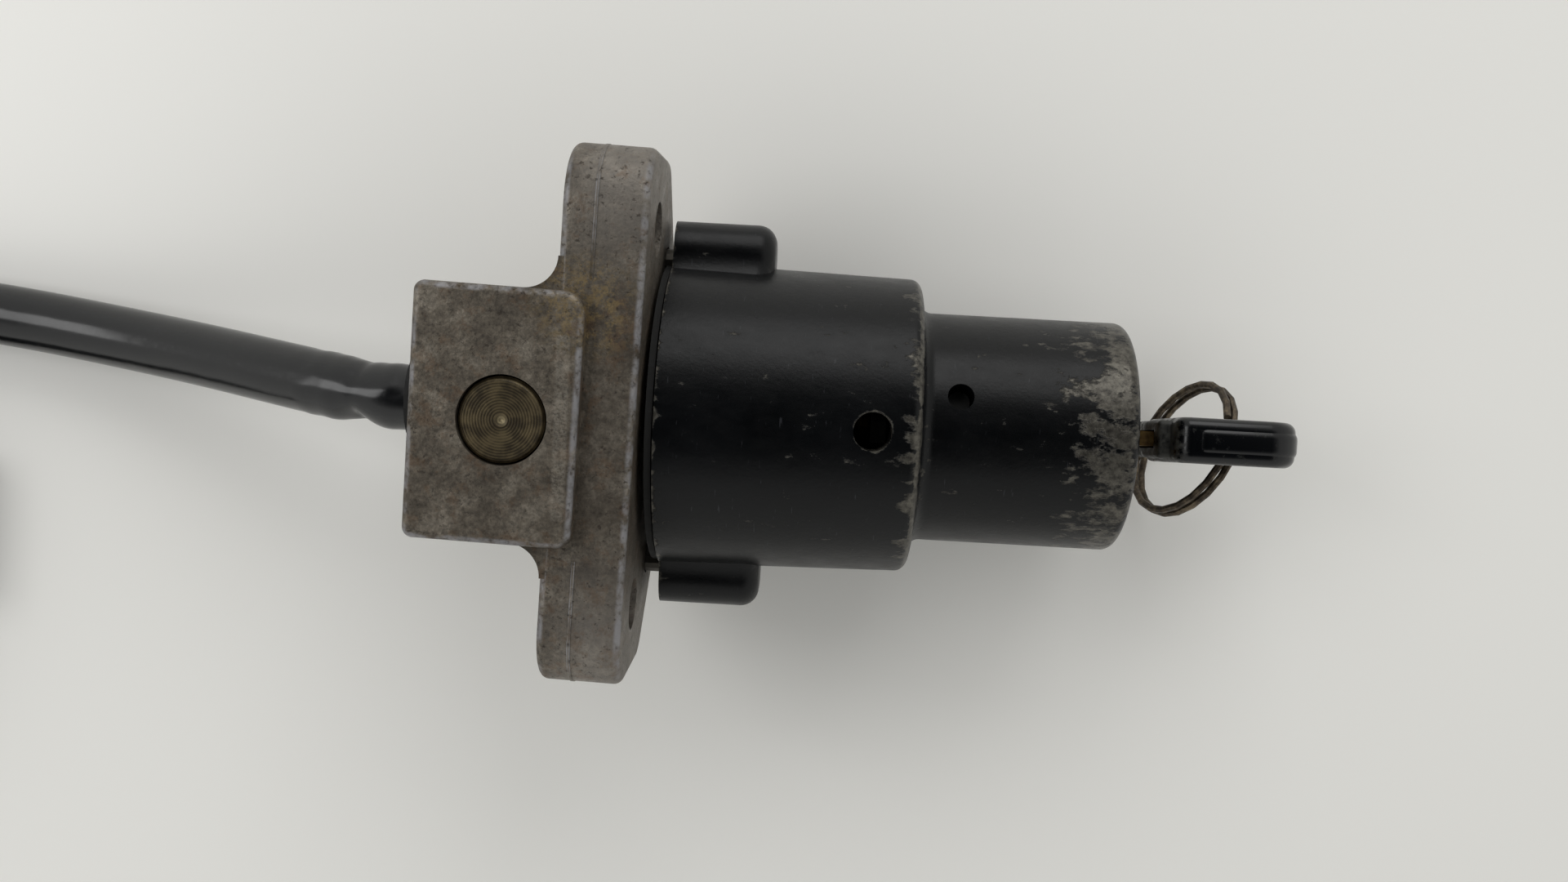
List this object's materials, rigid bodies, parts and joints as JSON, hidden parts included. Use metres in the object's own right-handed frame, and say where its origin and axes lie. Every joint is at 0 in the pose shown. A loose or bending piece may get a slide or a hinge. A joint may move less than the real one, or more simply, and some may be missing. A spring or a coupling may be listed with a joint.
{
  "type": "ignition switch",
  "caption": "Round ignition switch with a flanged steering lock housing, sliding lock bolt, key with split ring and a sleeved lead.",
  "frame": {"origin": "middle of the switch's bounding box, without the lead, on the table that the flange's flat foot stands on", "axes": "+X along the barrel's axis, towards the key; +Z the way the lock bolt comes out; +Y along the flange"},
  "size_m": [0.3712, 0.149, 0.0566],
  "materials": {
    "cast": "aged bare die casting, satin",
    "paint": "worn satin black",
    "zinc": "plain zinc casting",
    "steel": "plain",
    "bolt": "turned, with aged olive tint",
    "brass": "satin",
    "plastic": "dusty matt black",
    "phenolic": "matt brown",
    "rubber": "matt black",
    "sleeve": "glossy black",
    "ring": "rusty bronze-brown"
  },
  "bodies": {
    "housing": {"lock_housing": "cast", "flange_gasket": "rubber", "barrel": "paint", "ear_screw_upper": "steel", "ear_screw_lower": "steel", "bearing_plate": "zinc", "detent_ball": "steel", "detent_spring": "steel", "cylinder_sleeve": "zinc", "retaining_pin": "steel", "switch_base": "phenolic", "terminal_1": "brass", "terminal_2": "brass", "terminal_3": "brass", "terminal_4": "brass", "rear_cover": "plastic", "cover_screw_1": "steel", "cover_screw_2": "steel", "cover_screw_3": "steel", "cable_grommet": "rubber", "lead_sleeve": "sleeve", "lead_coil": "sleeve", "connector": "plastic"},
    "lock_cam": {"lock_cam": "zinc"},
    "lock_bolt": {"lock_bolt": "bolt", "bolt_yoke": "zinc"},
    "plug": {"plug": "brass", "plug_clip": "steel", "drive_shaft": "zinc", "detent_wheel": "steel", "contact_rotor": "plastic", "contact_bridge": "brass", "wafer_1": "brass", "wafer_2": "brass", "wafer_3": "brass", "wafer_4": "brass", "wafer_5": "brass", "wafer_6": "brass", "wafer_7": "brass"},
    "key": {"key_blade": "brass", "key_head": "plastic", "key_ring": "ring"}
  },
  "joints": [
    {"name": "lock_turn", "type": "hinge", "parent": "housing", "child": "lock_cam", "pos_m": [0, 0, 0.0256], "axis": [1, 0, 0], "range_deg": [0, 60]},
    {"name": "lock_bolt_slide", "type": "slide", "parent": "housing", "child": "lock_bolt", "axis": [0, 0, 1], "range_m": [0, 0.009]},
    {"name": "ignition_turn", "type": "hinge", "parent": "lock_cam", "child": "plug", "pos_m": [0, 0, 0.0256], "axis": [-1, 0, 0], "range_deg": [0, 60]},
    {"name": "key_slide", "type": "slide", "parent": "plug", "child": "key", "axis": [1, 0, 0], "range_m": [0, 0.038]}
  ],
  "couplings": [
    {"joint": "lock_turn", "follows": "lock_bolt_slide", "rad_per_m": 116.34}
  ]
}
